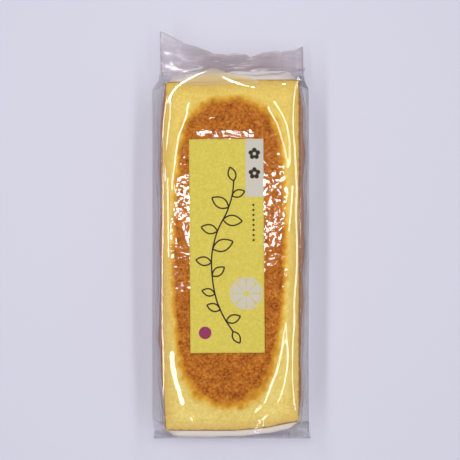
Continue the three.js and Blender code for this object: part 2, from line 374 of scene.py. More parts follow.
def kept_number(tree, name):
    """The number that each point of the piece keeps under this name."""
    return add(tree, "GeometryNodeInputNamedAttribute", {"Name": name}, data_type="FLOAT")


def end_tree(tree, geometry, material):
    """Realizes what the tree made, sets its material and sends it out."""
    real = add(tree, "GeometryNodeRealizeInstances", {0: geometry})
    painted = add(tree, "GeometryNodeSetMaterial", {"Geometry": real, "Material": material})
    add(tree, "NodeGroupOutput", {0: painted})


def apply_modifiers(piece):
    """Leaves the plain mesh that the piece's modifiers make."""
    evaluated = piece.evaluated_get(bpy.context.evaluated_depsgraph_get())
    plain = bpy.data.meshes.new_from_object(evaluated)
    piece.modifiers.clear()
    piece.data = plain
    print(piece.name, "has", len(plain.vertices), "points")


def run_tree(piece, tree, sizes):
    """Runs the tree on a piece once, and leaves a plain mesh."""
    modifier = piece.modifiers.new(tree.name, "NODES")
    modifier.node_group = tree
    for socket in tree.interface.items_tree:
        if socket.in_out == "INPUT" and socket.name in sizes:
            modifier[socket.identifier] = sizes[socket.name]
    apply_modifiers(piece)


def keep_values(piece, **values):
    """Keeps one number for each point of the mesh, under its name."""
    for name, numbers in values.items():
        kept = piece.data.attributes.new(name, "FLOAT", "POINT")
        kept.data.foreach_set("value", np.asarray(numbers, dtype=np.float32))


# %% [markdown]
# ## The sponge's finish
# The skin of a castella is baked egg foam: pale yellow where it stayed soft, and caramel brown where
# sugar browned. Its gloss is low, with roughness about 0.6, and an IOR near 1.45 as for other starchy
# food. Wrinkles in the browned skin are about 1.5 mm apart. Their folds are painted darker as shade and
# their crests lighter as painted light, over the crust's own mottle. The colours are laid over each
# other in the order the oven made them: pale skin, golden fringe, brown crown, tanned and caught edge,
# specks, and last the walls, which darken towards the base, partly from the pan and partly as painted shade.

# %% Sponge material
WRINKLE_SIZE = 1.4  # mm between wrinkles
BLOTCH_SIZE = 6.0
CAUGHT_SIZE = 2.4  # of the places where the edge caught
SPECK_SPACING = 4.0  # mm between pores that could hold a speck
SPECK_SIZE = 0.3
PALE_SKIN, PALE_FOOT, PALE_MOTTLE = "#FFE680", "#FFEC94", "#E8C352"
GOLDEN_FRINGE, EDGE_TAN = "#E2A62C", "#C99C54"
# The darkest brown is painted into the wrinkles' folds as shade, and it also marks the caught edge and the
# specks. The lightest is painted on the crests as light.
DARK_BROWN_AND_FOLD_SHADE, BROWN_SKIN, CREST_BROWN_PAINTED_LIGHT = "#7E3904", "#B2620B", "#D78D35"
WALL_UPPER, WALL_LOWER = "#B97A3F", "#8A4F25"

sponge, tree = new_material("baked_sponge")
place = add(tree, "ShaderNodeTexCoord").outputs["Object"]
browned, down, from_side = (
    add(tree, "ShaderNodeAttribute", attribute_name=name).outputs["Fac"]
    for name in ("browned", "down", "to_edge")
)
wrinkle_noise = noise(tree, place, WRINKLE_SIZE, Detail=3.0, Roughness=0.7, Distortion=0.5)
blotch_noise = noise(tree, place, BLOTCH_SIZE, Detail=3.0)
tone = maths(tree, "MULTIPLY_ADD", blotch_noise, 0.35, wrinkle_noise)
# The foot end stood in the cooler part of the oven and stayed paler.
place_along = add(tree, "ShaderNodeSeparateXYZ", {0: place}).outputs["Y"]
skin_tone = blend(tree, ramp(tree, place_along, 10 * MM, -70 * MM), PALE_SKIN, PALE_FOOT)
pale = blend(tree, ramp(tree, tone, 0.45, 0.95), skin_tone, PALE_MOTTLE)
fringed = blend(tree, ramp(tree, browned, 0.0, 0.35), pale, GOLDEN_FRINGE)
# The wrinkle noise paints the folds dark as shade and the crests light as painted light; the blotches add
# the crust's own mottle.
brown = add(tree, "ShaderNodeValToRGB", {"Fac": tone})
brown.color_ramp.elements[0].position = 0.50
brown.color_ramp.elements[0].color = linear(DARK_BROWN_AND_FOLD_SHADE)
brown.color_ramp.elements[1].position = 0.90
brown.color_ramp.elements[1].color = linear(CREST_BROWN_PAINTED_LIGHT)
brown.color_ramp.elements.new(0.66).color = linear(BROWN_SKIN)
crowned = blend(tree, ramp(tree, browned, 0.3, 0.85), fringed, brown.outputs["Color"])
# The rim is tanned towards its edge, and the edge itself has caught in places.
tanned = blend(tree, ramp(tree, from_side, 7.0, 0.0, 0.0, 0.6), crowned, EDGE_TAN)
caught_noise = noise(tree, place, CAUGHT_SIZE, Detail=4.0)
caught_depth = ramp(tree, caught_noise, 0.35, 0.7, 0.1, 1.6)
caught = blend(tree, ramp(tree, from_side, caught_depth, 0.0, 0.0, 0.75), tanned, DARK_BROWN_AND_FOLD_SHADE)
# A few pores of the pale skin hold a dark speck of burnt sugar.
cells = add(
    tree, "ShaderNodeTexVoronoi", {"Vector": place, "Scale": 1000 / SPECK_SPACING},
    voronoi_dimensions="2D",
)
speck_near = maths(tree, "LESS_THAN", cells.outputs["Distance"], SPECK_SIZE / SPECK_SPACING)
speck_luck = add(tree, "ShaderNodeSeparateColor", {0: cells.outputs["Color"]})
speck_chosen = maths(tree, "GREATER_THAN", speck_luck, 0.9)
speck = maths(tree, "MULTIPLY", speck_near, speck_chosen)
top_colour = blend(tree, maths(tree, "MULTIPLY", speck, 0.4), caught, DARK_BROWN_AND_FOLD_SHADE)
# The walls darken towards the base: partly the pan's deeper browning, and partly painted shade.
wall_colour = blend(tree, ramp(tree, down, 1.0, 1.6), WALL_UPPER, WALL_LOWER)
wander = maths(tree, "MULTIPLY_ADD", blotch_noise, 0.5, down)
colour = blend(tree, ramp(tree, wander, 0.95, 1.2), top_colour, wall_colour)
relief = add(tree, "ShaderNodeBump", {"Height": wrinkle_noise, "Strength": 0.6, "Distance": 0.5 * MM})
opaque(tree, Base_Color=colour, Roughness=0.6, IOR=1.45, Specular_IOR_Level=0.2, Normal=relief)
print("sponge material:", len(tree.nodes), "nodes")

# %% [markdown]
# The tree below makes the relief with the same noise as the finish above, so the crests painted light
# stand up and the folds painted with shade lie low.

# %% Grow the crust
CRUST_SIZES = {
    "Wrinkle size": WRINKLE_SIZE,
    "Wrinkle depth": 0.35,
    "Pore depth": 0.12,
    "Edge wander": 0.8,
}
crust, inputs = geometry_tree("baked_crust", CRUST_SIZES)
size = inputs.outputs
position = add(crust, "GeometryNodeInputPosition")
wander_noise = noise(crust, position, 4.0, Detail=5.0)
centred = maths(crust, "SUBTRACT", wander_noise, 0.5)
wandering = maths(crust, "MULTIPLY_ADD", centred, size["Edge wander"], kept_number(crust, "browning"))
brown_part = ramp(crust, wandering, 0.5, -0.5, interpolation_type="SMOOTHSTEP")
wrinkles = add(
    crust, "ShaderNodeTexNoise",
    {"Vector": position, "Scale": maths(crust, "DIVIDE", 1000.0, size["Wrinkle size"]),
     "Detail": 2.0, "Roughness": 0.6, "Distortion": 0.5},
)
height = maths(crust, "SUBTRACT", wrinkles, 0.5)
depth = add(
    crust, "ShaderNodeMix", {"Factor": brown_part, 2: size["Pore depth"], 3: size["Wrinkle depth"]},
)
offset = maths(crust, "MULTIPLY", maths(crust, "MULTIPLY", height, depth), MM)
normal = add(crust, "GeometryNodeInputNormal")
along_normal = add(crust, "ShaderNodeVectorMath", {0: normal, "Scale": offset}, operation="SCALE")
moved = add(crust, "GeometryNodeSetPosition", {"Geometry": size["Geometry"], "Offset": along_normal})
on_top = maths(crust, "SUBTRACT", 1.0, kept_number(crust, "down"), use_clamp=True)
kept = maths(crust, "MULTIPLY", brown_part, on_top)
stored = add(
    crust, "GeometryNodeStoreNamedAttribute", {"Geometry": moved, "Name": "browned", "Value": kept},
    data_type="FLOAT", domain="POINT",
)
end_tree(crust, stored, sponge)

loaf = mesh_object("sponge_loaf", loaf_points, loaf_faces, sponge)
loaf_x, loaf_y = loaf_points[:, 0], loaf_points[:, 1]
keep_values(loaf, browning=browning(loaf_x, loaf_y), to_edge=to_edge(loaf_x, loaf_y), down=loaf_down)
run_tree(loaf, crust, CRUST_SIZES)

# %% [markdown]
# ## The baking paper
# Castella is lifted from its pan on a strip of paper, which stays under it. The strip is as wide as the
# loaf, and its ends are turned up against the end walls, where they show as two pale bands. Its line
# is drawn once at each end, as distance beyond the loaf's end and height, and a smooth curve runs
# through the points. Real paper never stays flat, so slow uneven waves are added.

# %% Helpers for curves and waves


def through(points, steps=12):
    """Points close together on a smooth curve through the given ones."""
    first = 2 * np.array(points[0]) - points[1]
    last = 2 * np.array(points[-1]) - points[-2]
    line = np.array([first, *points, last], dtype=float)
    t = np.linspace(0, 1, steps, endpoint=False)[:, None]
    runs = []
    for a, b, c, d in zip(line[:-3], line[1:-2], line[2:-1], line[3:]):
        bend = (2 * a - 5 * b + 4 * c - d) * t**2 + (3 * b - 3 * c + d - a) * t**3
        runs.append(b + 0.5 * ((c - a) * t + bend))
    return np.vstack([*runs, line[-2:-1]])


def ripples(x, y, wavelength, amount, seed):
    """Slow uneven waves: ten sines of about that wavelength in random directions."""
    draw = np.random.default_rng(seed)
    total = np.zeros_like(x)
    for _ in range(10):
        angle, phase, size = draw.uniform(0, np.pi), draw.uniform(0, 2 * np.pi), draw.uniform(0.6, 1.7)
        k = 2 * np.pi / (wavelength * size)
        total = total + np.sin(k * (x * np.cos(angle) + y * np.sin(angle)) + phase)
    return total * amount / 3


# %% Make the baking paper
PAPER_THICKNESS = 0.12
PAPER_EDGES = (-36.4, 35.8)
TURNED_BACK = (31, 36.4)  # over this much of its width the paper's sides come back to the loaf
# Beyond the loaf's end and up, from under the loaf to the top of each turned end.
PAPER_AT_FLAP = [
    (-14, 0.3), (-1, 0.35), (3.0, 1.2), (5.2, 5), (6.6, 10), (7.1, 15), (6.6, 20), (5.4, 25), (3.6, 30),
    (1.8, 33.6), (0.4, 35.4),
]
PAPER_AT_FOOT = [
    (-14, 0.3), (-1, 0.35), (3.0, 1.0), (4.2, 5), (4.6, 14), (4.6, 24), (4.3, 31), (3.2, 34.2), (0.6, 35.6),
]


def paper_end(points, flap_end):
    """Points of one turned end, across and then up."""
    out, z = through(points, 8).T[:, :, None]
    x = np.linspace(*PAPER_EDGES, 60)[None, :] + 0 * out
    stands_off = 1 - 0.8 * smooth(*TURNED_BACK, np.abs(x)) * smooth(1, 4, z)
    y = half_length(x, RIM_HEIGHT, flap_end) + out * stands_off
    y = y + ripples(x, z, 14, 0.25, 21) * smooth(2, 10, z) * smooth(36, 30, z)
    return np.stack([x, y if flap_end else -y, z + 0 * x], axis=-1)


def thicken(piece, thickness, offset):
    """Gives a sheet its real thickness: offset 0 to both sides, -1 below it."""
    solid = piece.modifiers.new("thickness", "SOLIDIFY")
    solid.thickness = thickness * MM
    solid.offset = offset
    apply_modifiers(piece)


def paper_finish(name, light, dark, grain, detail, spread, tooth, roughness):
    """Uncoated paper: its fibres show as faint mottle, grain millimetres wide, and as tooth."""
    material, tree = new_material(name)
    place = add(tree, "ShaderNodeTexCoord").outputs["Object"]
    fibres = noise(tree, place, grain, Detail=detail)
    colour = blend(tree, ramp(tree, fibres, 0.5 - spread, 0.5 + spread), light, dark)
    bump = add(tree, "ShaderNodeBump", {"Height": fibres, "Strength": tooth, "Distance": 0.1 * MM})
    opaque(tree, Base_Color=colour, Roughness=roughness, Normal=bump)
    return material


flap_turn, foot_turn = paper_end(PAPER_AT_FLAP, True), paper_end(PAPER_AT_FOOT, False)
share = np.linspace(0, 1, 40)[1:-1, None, None]
under_loaf = foot_turn[0] * (1 - share) + flap_turn[0] * share
liner_points = np.concatenate([foot_turn[::-1], under_loaf, flap_turn])
baking = paper_finish("baking_paper", "#FBF2E8", "#F1E4D6", 1.5, 4.0, 0.5, 0.3, 0.75)
liner = mesh_object("baking_paper", liner_points.reshape(-1, 3), quads(*liner_points.shape[:2]), baking)
thicken(liner, PAPER_THICKNESS, 0)
print("paper ends", liner_points[..., 1].min().round(1), "to", liner_points[..., 1].max().round(1), "mm")

# %% [markdown]
# ## The film's form
# The bag is one tube of film. Each ring of the tube is a cross-section: the top sheet, the right side,
# the base and the left side. Over the loaf the ring stands open round it. Towards the flap it closes
# until the top sheet and the base meet, and the sides fold in between them as pleats. At the foot it
# closes on the table, where the pleats spread into two ears. So one rule for a ring, and a list of
# how far each ring has closed, give the whole bag as one closed surface.

# %% Where the film runs
FILM_GAP = 0.6  # between the loaf's skin and the film
SIDE_GAP = (0.9, 1.0)  # the same at the loaf's left and right sides
FLAP_WALL = 8.0  # the film comes down from the loaf's end to the flap in this length
FOOT_WALL = 6.4
FLAP_ROOT = LOAF_END + FLAP_WALL
LIP_ROOT = -LOAF_END - FOOT_WALL
FLAP_HALF_WIDTH = 40.0
FLAP_LENGTH = 10.3  # in its middle
FLAP_HEIGHT = 14.0  # of the flap's middle at its root
FLAP_OPENING = 1.6  # between its two sheets at the root
SEALED_GAP = 0.25  # and where they are sealed
PLEAT_DEPTH = 13.0
LIP_LENGTH = 2.6
LIP_HALF_WIDTH = 44.3
LIP_OPENING = 0.7
BASE_HALF_WIDTH = (45.6, 44.0)  # on the left and on the right
FILM_BASE = 0.12  # height of the film that lies on the table


def hump(x, middle, width, power=2):
    """1 at the middle, falling to nothing a few widths away."""
    return np.exp(-(((x - middle) / width) ** power))


def flap_root(x):
    """Where the flap begins along the bag. The fold dips back right of the middle."""
    return FLAP_ROOT + 0.8 * hump(x, -11, 6) - 2.0 * hump(x, 5, 12)


def flap_reach(x):
    """How far the flap's sealed edge lies beyond its root."""
    left = 11.4 * np.clip(-x / FLAP_HALF_WIDTH, 0, 1) ** 1.6
    right = 4.4 * np.clip(x / FLAP_HALF_WIDTH, 0, 1) ** 2.2
    notch = 1.5 * hump(x, 11, 2.2, 4)
    waves = 0.5 * np.sin(x * 0.31 + 1.0) + 0.25 * np.sin(x * 0.83)
    return FLAP_ROOT + FLAP_LENGTH + left + right - notch + waves - flap_root(x)


def flap_height(x, share):
    """Height of the flap's middle: it ripples, droops, and its left corner stands up."""
    ripple = 1.6 * np.sin(x / FLAP_HALF_WIDTH * np.pi * 1.5)
    corner = 8.0 * smooth(0.2, 1, -x / FLAP_HALF_WIDTH)
    return FLAP_HEIGHT + share * (ripple + corner - 3.0)


print("the bag runs from", LIP_ROOT - LIP_LENGTH, "to", FLAP_ROOT + FLAP_LENGTH, "mm in its middle")

# %% [markdown]
# Over the loaf the film is nearly flat: it bridges the rim, so it falls far less there than the loaf
# does. A lamp beside the pack shows in it as a line wherever the film falls outwards at one certain
# slope, `mirror_slope`, which sends that lamp's light up to the camera.

# %% The film over the loaf
FILM_ARCH = 0.3
FILM_FALL = 0.4  # over the rim, where the film bridges the loaf's own fall
FILM_FALL_RUN = 11.0
CORNER_FALL = 0.5  # more, to the corners at the flap


def film_height(x, y):
    """Height of the film over the loaf's top: a flat crown, and a slight fall over the rim."""
    crown = FILM_ARCH * crown_reach(x, y) ** 2
    rim = FILM_FALL * smooth(0, FILM_FALL_RUN, beyond_crown(x, y))
    corners = CORNER_FALL * smooth(40, 66, y) * smooth(12, 24, np.abs(x - OVAL_MIDDLE_X))
    return CROWN_HEIGHT + FILM_GAP - crown - rim - corners


def mirror_slope(x):
    """The outward fall of film at x that mirrors the middle of the nearer side lamp to the camera."""
    to_lamp = np.arctan((SIDE_LAMP_OUT - np.abs(x)) / (SIDE_LAMP_HEIGHT - CROWN_HEIGHT))
    to_camera = np.arctan(np.abs(x - LOOK_AT[0]) / (CAMERA_HEIGHT - CROWN_HEIGHT))
    return np.tan((to_lamp - to_camera) / 2)


print("the side lamps show where the film falls by", mirror_slope(np.array([20, 30, 37])).round(3))

# %% [markdown]
# Film pulled over a loaf doesn't lie smooth. It stands in narrow folds, which are ridges, and it steps
# down in creases, which are one-sided. Both run from the corners and the flap along the lines of pull,
# and each gives one thin bright line. Each has a width and a few points with a curve through them. A
# fold also has a height. A crease needs none: it steps down just steeply enough to mirror a lamp, and
# the film comes back up slowly beside it.

# %% Folds and creases
# Millimetres on the top of the bag, from end to end of each.
FOLDS = {
    "tent's left ridge": (
        0.145, 0.8,
        [(-11.5, 100.6), (-14.2, 99.8), (-20.2, 97.6), (-26.6, 94.3), (-30.6, 91.2), (-33.3, 87.6),
         (-34.8, 83.5), (-35.6, 78), (-36.6, 68), (-36.8, 56), (-36.6, 40)],
    ),
    "tent's right ridge": (
        0.16, 0.9, [(-7, 98.4), (-3, 96.2), (2, 94.2), (6, 92.8), (11, 91.7), (15, 91.4)],
    ),
    "swell above the label": (0.16, 2.8, [(-26, 67), (0, 68.3), (23, 67)]),
    "on to the foot": (0.25, 0.9, [(-22, -86), (-20.2, -89), (-16.5, -93)]),
    "to the foot's edge": (0.5, 1.0, [(15.8, -88.6), (12.6, -96)]),
    "corner loop, outer": (
        0.14, 0.9, [(26.5, 95), (28.2, 96.6), (31, 97.8), (35.5, 99.4), (37.5, 99.8)],
    ),
    "corner loop, inner": (
        0.15, 0.9, [(26.5, 94.4), (28.7, 93.4), (32, 94.4), (34.6, 96.2), (37, 99.2)],
    ),
    "flap's root, left": (0.16, 1.0, [(-36, 102.2), (-30, 103.2), (-21, 104.6)]),
    "flap's root, right": (0.3, 1.0, [(-2, 105.2), (9, 103.8), (20, 104.4), (31, 105.6)]),
}
CREASES = {
    "beside the crown, left": (
        1.1,
        [(-20.8, 86), (-23.9, 80.4), (-24.6, 75.4), (-26.6, 70), (-28.8, 63.7), (-30, 56.4),
         (-30.9, 48.3), (-32, 39.3), (-32.6, 24)],
    ),
    "from the tent, down the left": (
        0.9, [(-32.8, 87), (-33.5, 75), (-34.7, 64.5), (-35.7, 53.7), (-36, 34)],
    ),
    "left rim": (0.9, [(-34.6, 46), (-34.4, 20), (-34.0, -4)]),
    "left shoulder": (
        1.0,
        [(-36.6, 66), (-37.3, 48), (-37.3, 15), (-37.7, -10), (-37.7, -30), (-37.4, -44), (-37, -58),
         (-36.9, -68), (-37.3, -80), (-38, -92)],
    ),
    "into the left foot": (
        4.4,
        [(-32, -48), (-31.9, -57), (-31.2, -64), (-30.2, -68), (-28.2, -74.7), (-25.2, -84)],
    ),
    "beside the crown, right": (
        1.1,
        [(18.6, 80.6), (20.2, 78.2), (24, 71.6), (26.4, 64.7), (28.3, 57), (29.5, 50.8), (30.4, 44.5)],
    ),
    "beyond it, right": (1.1, [(20.6, 86.5), (27.9, 74.7), (30.3, 66.2), (31, 58.5), (30.9, 45)]),
    "on from there": (1.2, [(32.5, 39), (32.4, 35.3), (31.8, 26.8), (31, 18.3), (30.2, 11)]),
    "right shoulder": (
        1.1,
        [(36.4, 97), (35.8, 95.6), (35.2, 93.6), (33.4, 84.8), (33, 69.3), (33.7, 59.3), (34.3, 49.2),
         (34.7, 34.6), (34.3, 22.9), (34.9, 7.5), (34.6, -10), (33.5, -24), (33.5, -37.5), (32.8, -46),
         (32.65, -57.8), (32.8, -70), (33.8, -80.8), (35.1, -88.3), (36.8, -94.2)],
    ),
    "into the right foot, inner": (
        1.8,
        [(28.7, -33), (28.7, -38), (27.7, -44.9), (26, -53.7), (24, -61.8), (21.6, -67.8),
         (19.5, -74), (17.2, -79.4), (13.8, -82.4), (8, -90)],
    ),
    "into the right foot, outer": (
        1.5,
        [(28.9, -38), (29.4, -45.6), (30, -51), (29.9, -57.8), (29, -64.5), (27.7, -70.7),
         (25.3, -77.4), (21.9, -82.2), (17.2, -87.4), (13, -91)],
    ),
}
print(len(FOLDS), "folds and", len(CREASES), "creases")

# %% [markdown]
# Both kinds need the same thing first: how far a place is from a line, on which side of it, and how
# near the line's ends, where it fades. `nearest_on` finds that. The two functions after it add up
# what all the folds lift and all the creases lower.

# %% What folds and creases do
CREASE_REACH = 14.0  # mm over which the film comes back up beside a crease
EXTRA_STEEP = 0.4  # mm; over its width, how much steeper a crease is than it needs to be
FADED = 0.12  # share of a line at each end over which it comes and goes
MOST_SLANT = 2.5  # a crease that runs across the bag is made steeper by this at most


def nearest_on(points, x, y):
    """A line's starts and steps, and for places x, y the nearest step, distance, side and fade there."""
    line = through(points)
    steps = np.diff(line, axis=0)
    near = np.full(x.shape, np.inf)
    found = np.zeros(x.shape, dtype=int)
    along, right_hand = np.zeros_like(x), np.zeros_like(x)
    for i, ((ax, ay), (sx, sy)) in enumerate(zip(line[:-1], steps)):
        share = np.clip(((x - ax) * sx + (y - ay) * sy) / (sx * sx + sy * sy), 0, 1)
        away = np.hypot(x - ax - share * sx, y - ay - share * sy)
        closer = away < near
        near = np.where(closer, away, near)
        found = np.where(closer, i, found)
        along = np.where(closer, (i + share) / len(steps), along)
        right_hand = np.where(closer, np.sign((x - ax) * sy - (y - ay) * sx), right_hand)
    fade = smooth(0, FADED, along) * smooth(1, 1 - FADED, along)
    return line[:-1], steps, found, near, right_hand, fade


def fold_relief(x, y):
    """How far the folds stand above the smooth film."""
    total = np.zeros_like(x)
    for height, width, points in FOLDS.values():
        _, _, _, near, _, fade = nearest_on(points, x, y)
        total = total + height * fade * np.exp(-((near / width) ** 2))
    return total


def crease_relief(x, y):
    """How far the creases lie below the smooth film. Each falls just steeply enough to mirror a lamp."""
    total = np.zeros_like(x)
    for width, points in CREASES.values():
        line, steps, found, near, right_hand, fade = nearest_on(points, x, y)
        side = np.sign(line[0, 0])
        falls = (film_height(line[:, 0] - side, line[:, 1]) - film_height(line[:, 0] + side, line[:, 1])) / 2
        missing = mirror_slope(line[:, 0]) - falls
        slant = np.minimum(np.hypot(*steps.T) / np.abs(steps[:, 1]), MOST_SLANT)
        outside = right_hand * side * np.sign(steps[:, 1])[found]
        step = (1 + np.tanh(2 * outside * near / width)) / 2
        deep = (missing * slant)[found] * (width + EXTRA_STEEP)
        total = total + deep * fade * step * np.exp(-((near / CREASE_REACH) ** 2))
    return total


# %% [markdown]
# At the loaf's end the film comes down to the flap. It reaches out first and drops late, and in two
# places it stands out much farther, as a tent. At the foot it comes down to the table in the same way,
# over the turned paper.

# %% How the film comes down
EDGE_DROP, EDGE_RUN = 0.8, 0.6  # the film's edge is rounded down this far, over this much of its width
TENTS = (
    [-27, -21.7, -13.6, -10.3, -2.2, 9.7, 14, 25, 29, 35.5, 38.5],  # places across the bag
    [0, 3.5, 6.6, 7.4, 4.5, 1.8, 0, 0, 3.2, 6.3, 6.5],  # how far out a tent's roof reaches there
)
TENT_SLOPE = 0.04


def edge_fall(inside):
    """How far the film is rounded down, this far inside its edge."""
    return EDGE_DROP * np.clip(1 - inside / EDGE_RUN, 0, 1) ** 2.5


def flap_fall(share):
    """How far the top sheet has come down to the flap: it reaches out first and then drops."""
    return 0.8 * share**2.5 + 0.2 * share


def foot_fall(share):
    """At the foot the film reaches out over the paper first and then drops."""
    return share**6


print("half way out it has come down by", flap_fall(0.5), "at the flap and", foot_fall(0.5), "at the foot")

# %% [markdown]
# Now the rings. `stations` says where each ring is and how far it has closed. The values taken from it
# have one row for each ring, so every sum below is made for all rings at once.

# %% Rings of the tube
TOP_POINTS = 200
WALL_POINTS = 22  # on each side
BASE_POINTS = 20
RING_PARTS = (TOP_POINTS, WALL_POINTS, BASE_POINTS, WALL_POINTS)  # top, right, base and left


def stations():
    """For each ring: y, how far it is closed towards the flap and the foot, and how far along each."""
    lip = [(LIP_ROOT - LIP_LENGTH * s, 0, 1, 0, s) for s in np.linspace(1, 0.15, 6)]
    foot = [(-LOAF_END - FOOT_WALL * s, 0, s, 0, 0) for s in np.linspace(1, 0.01, 22) ** 0.28]
    body = [(y, 0, 0, 0, 0) for y in np.linspace(-LOAF_END, LOAF_END, 256)]
    wall = [(LOAF_END + FLAP_WALL * s, s, 0, 0, 0) for s in np.linspace(0.06, 1, 18)]
    flap = [(FLAP_ROOT, 1, 0, s, 0) for s in np.linspace(0.02, 1, 56)]
    return np.array(lip + foot + body + wall + flap).T[:, :, None]


ring_y, to_flap, to_foot, along_flap, along_lip = stations()
closed = np.maximum(to_flap, to_foot)
open_part = 1 - closed
on_loaf_y = np.clip(ring_y, -LOAF_END, LOAF_END)
print(len(ring_y), "rings of", sum(RING_PARTS), "points")

# %% [markdown]
# Two rules give the height of the top sheet and of the base at any x, for every ring at once. The
# flap's two sheets run close together, on either side of its middle.

# %% Heights of the two sheets
CRUMPLES = ((5.5, 0.16, 11), (2.2, 0.05, 12))  # wavelength, amount and seed of the flap's small waves
opening = SEALED_GAP + (FLAP_OPENING - SEALED_GAP) * (1 - smooth(0, 0.45, along_flap))


def flap_middle(x):
    """Height halfway between the flap's two sheets."""
    across = (x + 0 * ring_y) * 0.28
    outward = ring_y + along_flap * (FLAP_LENGTH + 3) + 0 * x
    crumpled = sum(ripples(across, outward, *crumple) for crumple in CRUMPLES)
    return flap_height(x, along_flap) + crumpled * smooth(0.5, 1.0, to_flap)


def upper(x):
    """Height of the top sheet, before its folds."""
    out = ring_y - LOAF_END
    roof = np.interp(x, *TENTS)
    past_roof = flap_fall(np.clip((out - roof) / (FLAP_WALL - roof), 0, 1))
    over_loaf = film_height(np.clip(x, -LEFT_EDGE, RIGHT_EDGE), on_loaf_y)
    over_loaf = over_loaf - TENT_SLOPE * np.clip(out, 0, roof)
    z = over_loaf * (1 - past_roof) + (flap_middle(x) + opening / 2) * past_roof
    return z * (1 - foot_fall(to_foot)) + (FILM_BASE + LIP_OPENING) * foot_fall(to_foot)


def lower(x):
    """Height of the base: on the table, and then up along the flap's underside."""
    rise = smooth(0.5, 1, to_flap)
    return FILM_BASE * (1 - rise) + (flap_middle(x) - opening / 2) * rise


print("the flap opens", opening.max().round(2), "mm at its root and", opening.min().round(2), "where sealed")

# %% [markdown]
# Each function below gives the x and z of one part of the rings. The top sheet has more points near
# the shoulders, where the folds are, and it is pulled tight over the rim. The sides hug the loaf,
# flare out at the table, and fold in as pleats where the bag closes.

# %% Points of the tube
RIPPLES = ((14, 0.05, 3), (5, 0.012, 4))  # wavelength, amount and seed of the top sheet's small waves
TAUT_SHARE = 0.6  # of those waves that is gone over the rim
STREAKS = (4.5, 0.35)  # wavelength and depth of the small waves along the sides
STREAK_SEEDS = (8, 7)  # on the left and on the right


def edge_width(right):
    """Half the top sheet's width on one side."""
    over_loaf = half_width(on_loaf_y, RIM_HEIGHT, right) + SIDE_GAP[right]
    to_the_flap = over_loaf * (1 - to_flap) + FLAP_HALF_WIDTH * to_flap
    return to_the_flap * (1 - to_foot) + LIP_HALF_WIDTH * to_foot


def top_sheet():
    """The top sheet, from left to right, with its folds, creases and small waves."""
    even = np.linspace(-1, 1, TOP_POINTS)
    u = (0.5 * even + 0.5 * np.sin(even * np.pi / 2))[None, :]
    edge = np.where(u > 0, edge_width(True), edge_width(False))
    x = u * edge
    rounded = edge_fall(edge - np.abs(x)) * open_part
    outward = ring_y + along_flap * (FLAP_LENGTH + 0.7) + 0 * x
    folded = (fold_relief(x, outward) - crease_relief(x, outward)) * (1 - smooth(0.3, 1, to_foot))
    taut = TAUT_SHARE * smooth(0.92, 1.08, crown_reach(x, on_loaf_y + 0 * x))
    slow = sum(ripples(x, ring_y + 0 * x, *ripple) for ripple in RIPPLES)
    return x, upper(x) - rounded + folded + slow * (1 - np.maximum(taut, 0.6 * closed))


def side(right):
    """One side: down on the right, and up on the left."""
    sign = 1 if right else -1
    d = np.linspace(0, 1, WALL_POINTS + 2)[None, 1:-1]
    d = d if right else 1 - d
    edge = edge_width(right)
    start = upper(sign * edge) - EDGE_DROP * open_part
    z = start * (1 - d) + lower(sign * edge) * d
    hug = half_width(on_loaf_y, np.clip(z, 0, RIM_HEIGHT), right) + SIDE_GAP[right]
    flare = (BASE_HALF_WIDTH[right] - half_width(on_loaf_y, 0.0, right) - SIDE_GAP[right]) * d**3
    closed_x = FLAP_HALF_WIDTH * to_flap + LIP_HALF_WIDTH * to_foot
    pleat = PLEAT_DEPTH * smooth(0, 0.7, to_flap) * (1 - np.abs(2 * d - 1))
    streaks = ripples(z, (ring_y + 0 * z) * 0.15, *STREAKS, STREAK_SEEDS[right])
    x = (hug + flare) * open_part + closed_x * closed - pleat
    return sign * (x + streaks * open_part * np.sin(np.pi * d) ** 0.5), z


def base_sheet():
    """The base, from right to left."""
    share = np.linspace(1, -1, BASE_POINTS)[None, :]
    half = np.where(share > 0, BASE_HALF_WIDTH[1], BASE_HALF_WIDTH[0])
    edge = half * (1 - to_flap) * (1 - to_foot) + FLAP_HALF_WIDTH * to_flap + LIP_HALF_WIDTH * to_foot
    return share * edge, lower(share * edge)


tube_x, tube_z = (np.hstack(parts) for parts in zip(top_sheet(), side(True), base_sheet(), side(False)))
bend = np.clip(tube_x, -FLAP_HALF_WIDTH, FLAP_HALF_WIDTH)
pulled = (flap_root(bend) - FLAP_ROOT) * smooth(0.2, 1, to_flap)
lip_wave = 0.5 * np.sin(tube_x * 0.12 + 0.5) * along_lip
tube_y = ring_y + pulled + along_flap * flap_reach(bend) + lip_wave
rings = np.stack([tube_x, tube_y, tube_z], axis=-1)
print("the tube spans", np.ptp(rings.reshape(-1, 3), axis=0).round(1), "mm")

# %% [markdown]
# Each point also keeps a few numbers that the finish reads: where film clings to the crust, where it
# is bunched or tinted as painted shade, lies on something, is milky or whitened as painted light, or is
# loose, where it takes the loaf's colour, and how far it is from the sealed edge.

# %% What the finish needs to know
WALL_HAZE_AND_LIGHT = (0.12, 0.35)  # how milky the sides are low down, on the left and on the right; the right's extra whiteness is painted light
TABLE_PAINTED_LIGHT = 0.9  # painted light: a white haze on the film that lies on the table right of the loaf, lifting its shadow
FLAP_HAZE = 0.05

